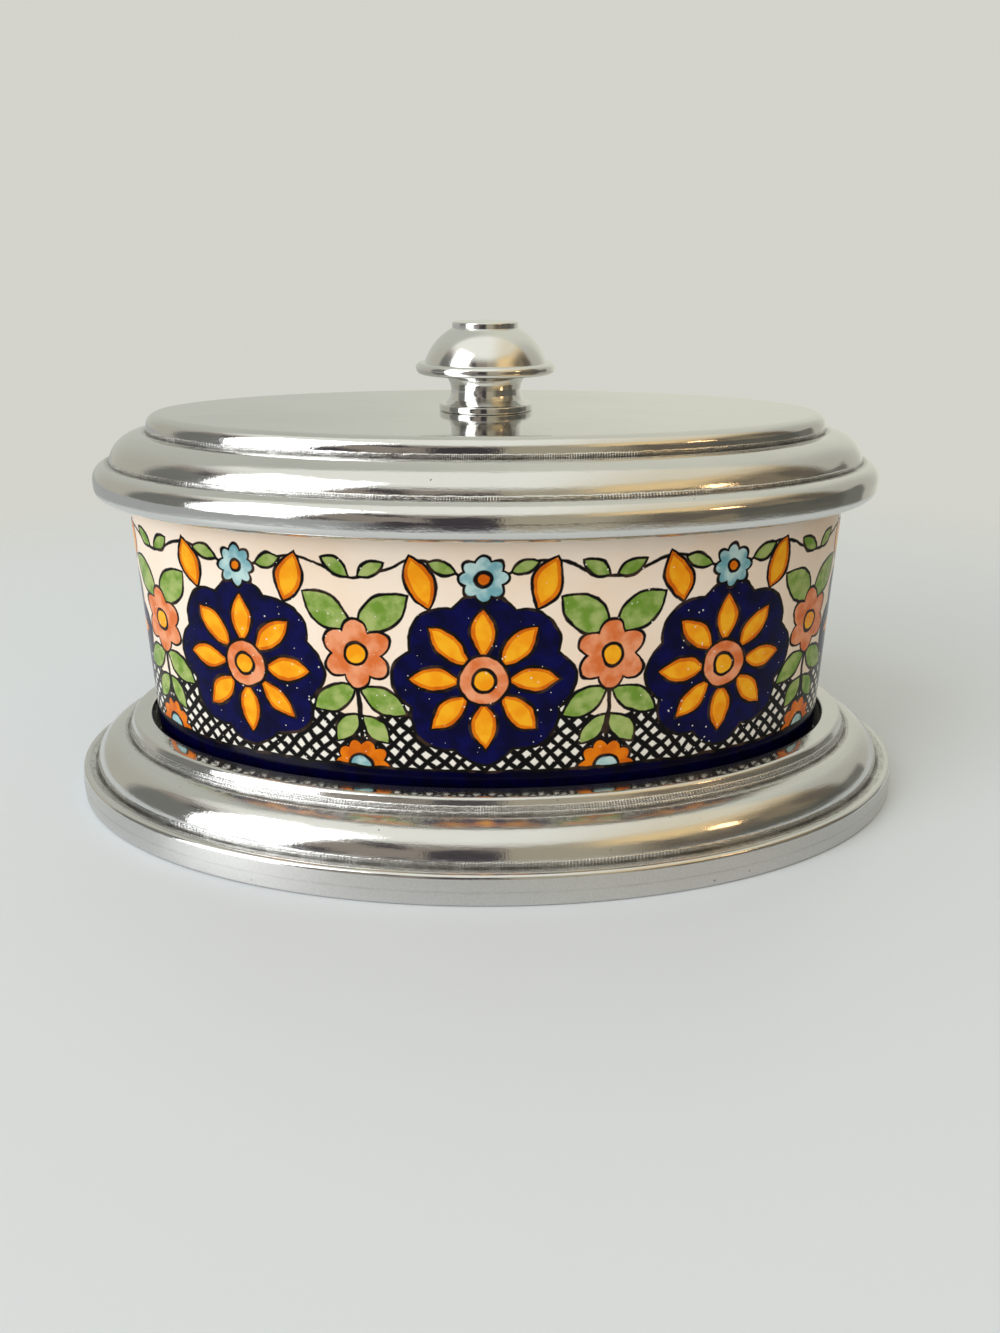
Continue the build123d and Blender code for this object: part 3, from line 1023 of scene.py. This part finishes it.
bpy.ops.object.select_all(action="DESELECT")
ring_top = knob_low.z + knob_ring_height
ring_face = knob_ring_height - 2 * knob_edge_radius
bpy.ops.mesh.primitive_cylinder_add(vertices=knob_steps, radius=knob_ring_radius, depth=ring_face,
                                    end_fill_type="NGON")
knob = bpy.context.object
knob.name = "turned_knob"
bpy.ops.object.mode_set(mode="EDIT")
bpy.ops.transform.translate(value=(0, 0, knob_low.z + knob_ring_height / 2))
knob_neck_top = ring_top + knob_neck_height
neck_foot = (knob_ring_radius - knob_ring_ledge, ring_top)
neck_head = (knob_brim_root, knob_neck_top)
brim_middle = knob_neck_top + knob_brim_nose
brim_top = brim_middle + knob_brim_nose
brim_nose = (knob_high.x - knob_brim_nose, brim_middle)
dome_foot = (knob_dome_radius, brim_top)
dome_head = (knob_disc_radius, brim_top + knob_dome_rise)
disc_edge = (knob_disc_radius - knob_edge_radius, knob_high.z - knob_edge_radius)
turn_on_lathe(knob, 1, (knob_ring_radius, ring_top - knob_edge_radius), [
    *arc((knob_ring_radius - knob_edge_radius, ring_top - knob_edge_radius), knob_edge_radius, 0, 90),
    neck_foot,
    *grooved(bowed(neck_foot, neck_head, -knob_neck_hollow, knob_neck_steps)),
    (brim_nose[0] - knob_edge_radius, knob_neck_top),
    *arc(brim_nose, knob_brim_nose, -90, 90),
    dome_foot,
    *bowed(dome_foot, dome_head, knob_dome_bulge, knob_dome_steps),
    (knob_disc_radius, disc_edge[1]),
    *arc(disc_edge, knob_edge_radius, 0, 90),
    (disc_edge[0] - knob_edge_radius, knob_high.z),
])
turn_on_lathe(knob, -1, (knob_ring_radius, knob_low.z + knob_edge_radius), [
    *arc((knob_ring_radius - knob_edge_radius, knob_low.z + knob_edge_radius), knob_edge_radius, 0, -90),
    (knob_bore_radius, knob_low.z),
    (knob_bore_radius, knob_low.z + knob_bore_depth),
])
hand_over(knob, turned_aluminium(), "lid", "knob")

# The washer and the slotted pan-head screw are bought parts in zinc-plated steel. The screw goes up through
# the washer and the lid's plate into the knob, and they hold the knob on the lid.
blue_zinc = (0.56, 0.58, 0.62)
yellow_zinc = (0.62, 0.59, 0.50)
zinc_clouds = (0.35, 0.65)
zinc_roughness = 0.22
rough_scratches = (0.3, 0.8)
scratch_roughness = 0.2
scratch_relief = 0.01


def zinc_plate():
    """Zinc-plated steel: a little blue and yellow in its cloudy passivation."""
    finish, surface, place = start_finish("zinc_plate")
    clouds = noise(place, size=2.5, detail=3)
    scratches = noise(place, size=0.25, detail=2)
    feed(surface.inputs["Base Color"], over(blue_zinc, yellow_zinc, rise(clouds, *zinc_clouds)))
    surface.inputs["Metallic"].default_value = 1.0
    scratched = rise(scratches, *rough_scratches) * scratch_roughness
    feed(surface.inputs["Roughness"], zinc_roughness + scratched)
    relief(surface, scratches * scratch_relief)
    return finish


fixing_finish = zinc_plate()
for node_name in ("knob_washer", "knob_screw"):
    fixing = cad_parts[node_name]
    fixing.data.materials.clear()
    fixing.data.materials.append(fixing_finish)

# The studio: a plain pale round table top that melts into a pale surround, a soft window light and its fill
# from the left, a small warm lamp from the right, and a room that is dim in front of the object and pale
# above and behind it.
table_radius = 0.56
table_fade_start = 260
table_fade_end = 520
table_roughness = 0.45
table_white = (0.68, 0.725, 0.78)


def table_paint():
    """Smooth table top, whose paint thins out into the surround between two distances in millimetres."""
    finish, surface, place = start_finish("table_paint")
    x, y, _ = split(place)
    surface.inputs["Base Color"].default_value = (*table_white, 1)
    surface.inputs["Roughness"].default_value = table_roughness
    feed(surface.inputs["Alpha"], rise(length(x, y), table_fade_end, table_fade_start))
    return finish


bpy.ops.object.select_all(action="DESELECT")
bpy.ops.mesh.primitive_circle_add(vertices=oval_steps, radius=table_radius, fill_type="NGON")
floor = bpy.context.object
floor.name = "floor"
floor.data.materials.append(table_paint())

scene = bpy.context.scene
scene.view_settings.view_transform = "Standard"
world = bpy.data.worlds.new("room")
scene.world = world
world.use_nodes = True
direction = Field(world.node_tree.nodes.new("ShaderNodeTexCoord").outputs["Generated"])
straight_look = Field(world.node_tree.nodes.new("ShaderNodeLightPath").outputs["Is Camera Ray"])
aside, away, upward = split(direction)

# In front: dim at the left, then pale, then brown, with patches, a dark gap in the middle and a dark shelf
room_dark = (0.05, 0.042, 0.05)
room_dim = (0.30, 0.26, 0.22)
room_shade = (0.19, 0.19, 0.175)
room_pale = (0.43, 0.385, 0.285)
room_brown = (0.25, 0.205, 0.135)
patch_size = 0.28
left_patches = (0.50, 0.56)
left_corner = (-0.78, -0.86)
brown_patches = (0.46, 0.52)
brown_patch_strength = 0.5
shelf_strength = 0.7
pale_side = (0.04, 0.06)
brown_side = (0.35, 0.60)
gap_middle = -0.08
gap_edge = (0.14, 0.12)
gap_top = (0.50, 0.42)
patches = noise(direction, patch_size, detail=2)
left_room = over(room_dim, room_dark, rise(patches, *left_patches))
left_room = over(left_room, room_shade, rise(aside, *left_corner))
shelf = band(upward, middle=-0.12, half_width=0.015, softness=0.03)
pale_room = over(room_pale, room_dark, shelf * shelf_strength)
brown_room = over(room_brown, room_dark, rise(patches, *brown_patches) * brown_patch_strength)
front_room = over(left_room, pale_room, rise(aside, *pale_side))
front_room = over(front_room, brown_room, rise(aside, *brown_side))
dark_gap = rise(abs(aside - gap_middle), *gap_edge) * rise(upward, *gap_top)
front_room = over(front_room, room_dark, dark_gap)

# Above: a bright ceiling, warmer to the right, with the glow of the warm lamp at its edge
room_ceiling = (0.99, 0.99, 0.91)
warm_ceiling = (0.84, 0.77, 0.60)
room_glow = (0.98, 0.72, 0.37)
warm_side = (0.05, 0.50)
ceiling_start = (0.60, 0.82)
glow_strength = 0.95
ceiling = over(room_ceiling, warm_ceiling, rise(aside, *warm_side))
front_room = over(front_room, ceiling, rise(upward, *ceiling_start))
glow = band(aside, middle=0.52, half_width=0.06, softness=0.24)
glow = glow * band(upward, middle=0.61, half_width=0.05, softness=0.16)
front_room = over(front_room, room_glow, glow * glow_strength)

# Behind: a pale wall, dimmer at its ends, with a doorway at the right and the table's far end at the left
wall_grey = (0.655, 0.655, 0.60)
wall_shaded = (0.56, 0.57, 0.51)
wall_bright = (0.72, 0.72, 0.62)
wall_end = (0.51, 0.49, 0.42)
doorway_dark = (0.10, 0.105, 0.09)
table_far = (0.43, 0.44, 0.43)
wall_start = (0.10, 0.25)
wall_ends = (0.50, 0.92)
doorway_side = (0.80, 0.83)
doorway_depth = (0.50, 0.45)
doorway_top = (0.28, 0.22)
doorway_strength = 0.8
table_edge = (0.0, -0.05)
table_side = (-0.30, -0.55)
wall = over(wall_shaded, wall_bright, band(aside, middle=0.30, half_width=0.10, softness=0.50))
wall = over(wall, wall_end, rise(abs(aside), *wall_ends))
room = over(front_room, wall, rise(away, *wall_start))
doorway = rise(aside, *doorway_side) * rise(away, *doorway_depth) * rise(upward, *doorway_top)
room = over(room, doorway_dark, doorway * doorway_strength)
room = over(room, table_far, rise(upward, *table_edge) * rise(aside, *table_side))
room = over(room, wall_grey, straight_look)
feed(world.node_tree.nodes["Background"].inputs["Color"], room)


def soft_light(name, turn, lift, distance, width, height, radiance, colour):
    """Rectangular lamp that faces the object, placed by its angle right of the camera and above the floor."""
    lamp_data = bpy.data.lights.new(name, "AREA")
    lamp_data.shape = "RECTANGLE"
    lamp_data.size = width
    lamp_data.size_y = height
    lamp_data.energy = radiance * math.pi * width * height
    lamp_data.color = colour
    lamp = bpy.data.objects.new(name, lamp_data)
    scene.collection.objects.link(lamp)
    turn = math.radians(turn)
    lift = math.radians(lift)
    over_floor = distance * math.cos(lift)
    lamp.location = (over_floor * math.sin(turn), -over_floor * math.cos(turn), distance * math.sin(lift))
    lamp.rotation_euler = (math.pi / 2 - lift, 0, turn)
    return lamp


soft_light("window", turn=-55, lift=29, distance=2.4, width=1.30, height=2.60, radiance=3.2,
           colour=(0.97, 0.99, 1.0))
soft_light("warm_lamp", turn=56, lift=30, distance=1.2, width=0.14, height=0.10, radiance=5.0,
           colour=(1.0, 0.62, 0.30))
fill = soft_light("left_fill", turn=-30, lift=20, distance=2.6, width=2.6, height=1.6, radiance=2.0,
                  colour=(1.0, 0.98, 0.95))
fill.visible_glossy = False

# The camera stands where the photograph was taken from, close to the object and looking down on it. Its focal
# length is in pixels of the photograph, which is taller than it is wide.
photo_height = 1333
focal_length_pixels = 1045.8
sensor_size = 36.0
nearest_seen = 0.01
camera_place = (0.004, -0.3027, 0.1482)
camera_tilt = math.radians(68.99)
camera_data = bpy.data.cameras.new("camera")
camera_data.sensor_width = sensor_size
camera_data.lens = focal_length_pixels / photo_height * sensor_size
camera_data.clip_start = nearest_seen
camera = bpy.data.objects.new("camera", camera_data)
scene.collection.objects.link(camera)
camera.location = camera_place
camera.rotation_euler = (camera_tilt, 0, 0)
scene.camera = camera
